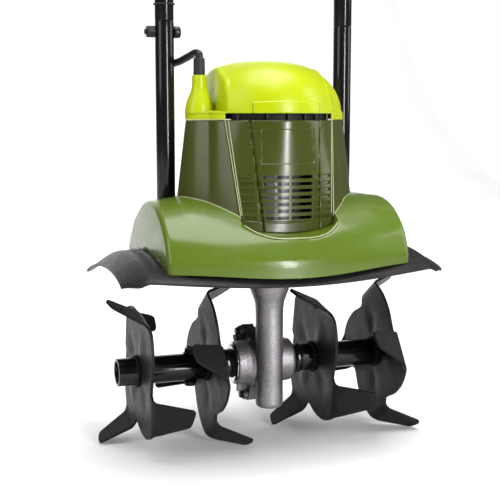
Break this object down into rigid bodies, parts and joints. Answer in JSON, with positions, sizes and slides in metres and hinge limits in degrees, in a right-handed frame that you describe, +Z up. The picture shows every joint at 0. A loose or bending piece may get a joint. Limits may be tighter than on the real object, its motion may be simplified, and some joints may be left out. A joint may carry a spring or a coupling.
{
  "type": "garden tiller",
  "caption": "Upright electric garden tiller: motor tower on a hooded guard plate, worm gearbox, four bent-blade tines on one axle, folding tube handle with switch box.",
  "frame": {"origin": "centre of the box's bottom, at ground level under the machine", "axes": "+Z up, +X along the tine axle, front of the machine towards -Y"},
  "size_m": [0.3564, 0.3964, 1.0618],
  "materials": {
    "olive_plastic": "satin",
    "dark_olive_plastic": "satin",
    "lime_plastic": "gloss",
    "guard_black": "satin",
    "tine_black": "satin",
    "tube_black": "satin",
    "cast_aluminium": "matte",
    "bare_steel": "satin",
    "bronze": "satin",
    "copper": "satin",
    "black_rubber": "matte",
    "black_plastic": "matte",
    "black_foam": "matte",
    "red_plastic": "gloss"
  },
  "bodies": {
    "base": {"base_hood": "olive_plastic", "bearing_left": "bare_steel", "bearing_right": "bare_steel", "brush_left": "black_plastic", "brush_right": "black_plastic", "cable_sleeve": "black_rubber", "cable_swivel": "black_plastic", "cover_screw_1": "bare_steel", "cover_screw_2": "bare_steel", "cover_screw_3": "bare_steel", "field_coil_left": "copper", "field_coil_right": "copper", "fold_bolt_left": "bare_steel", "fold_bolt_right": "bare_steel", "front_vent_panel": "dark_olive_plastic", "gearbox_case": "cast_aluminium", "gearbox_cover": "cast_aluminium", "guard_plate": "guard_black", "joint_bolt_left": "tube_black", "joint_nut_left": "tube_black", "joint_screw_right": "tube_black", "lower_tube_left": "tube_black", "lower_tube_right": "tube_black", "middle_tube_left": "tube_black", "middle_tube_right": "tube_black", "motor_bearing": "bare_steel", "motor_cable_lower": "black_rubber", "motor_end_bracket": "cast_aluminium", "motor_stator": "bare_steel", "retaining_ring": "bare_steel", "shaft_seal_left": "black_rubber", "shaft_seal_right": "black_rubber", "top_cap": "lime_plastic", "tower_shell": "dark_olive_plastic"},
    "tines": {"tine_outer_left": "tine_black", "tine_inner_left": "tine_black", "tine_inner_right": "tine_black", "tine_outer_right": "tine_black", "tine_tube_left": "tube_black", "tine_tube_right": "tube_black", "hitch_bolt_left": "tube_black", "hitch_bolt_right": "tube_black", "hitch_nut_left": "tube_black", "hitch_nut_right": "tube_black", "output_shaft": "bare_steel", "worm_wheel": "bronze"},
    "drive": {"drive_shaft": "bare_steel", "armature_core": "bare_steel", "commutator": "copper", "cooling_fan": "black_plastic"},
    "handle": {"upper_handle": "tube_black", "grip_left": "black_foam", "grip_right": "black_foam", "switch_box": "black_plastic", "power_inlet": "black_plastic", "motor_cable_upper": "black_rubber"},
    "knob_left": {"fold_knob_left": "black_plastic"},
    "knob_right": {"fold_knob_right": "black_plastic"},
    "lever": {"switch_lever": "black_plastic"},
    "button": {"safety_button": "red_plastic"}
  },
  "joints": [
    {"name": "tine_spin", "type": "hinge", "parent": "base", "child": "tines", "pos_m": [0, -0.07625, 0.08576], "axis": [1, 0, 0], "continuous": true},
    {"name": "drive_spin", "type": "hinge", "parent": "base", "child": "drive", "pos_m": [0, -0.10225, 0.26576], "axis": [0, 0, 1], "continuous": true},
    {"name": "handle_fold", "type": "hinge", "parent": "base", "child": "handle", "pos_m": [0, -0.05875, 0.64576], "axis": [1, 0, 0], "range_deg": [0, 150]},
    {"name": "knob_left_turn", "type": "hinge", "parent": "base", "child": "knob_left", "pos_m": [-0.134, -0.05875, 0.64576], "axis": [-1, 0, 0], "range_deg": [0, 360]},
    {"name": "knob_right_turn", "type": "hinge", "parent": "base", "child": "knob_right", "pos_m": [0.134, -0.05875, 0.64576], "axis": [1, 0, 0], "range_deg": [0, 360]},
    {"name": "lever_squeeze", "type": "hinge", "parent": "handle", "child": "lever", "pos_m": [0, 0.17625, 1.00876], "axis": [1, 0, 0], "range_deg": [-20, 0], "stiffness_Nm_per_rad": 0.5, "springref_deg": 17.19},
    {"name": "button_press", "type": "slide", "parent": "handle", "child": "button", "axis": [0, 0, 1], "range_m": [-0.003, 0], "stiffness_N_per_m": 300, "springref_m": 0.004}
  ],
  "couplings": [
    {"joint": "drive_spin", "follows": "tine_spin", "ratio": -36}
  ]
}
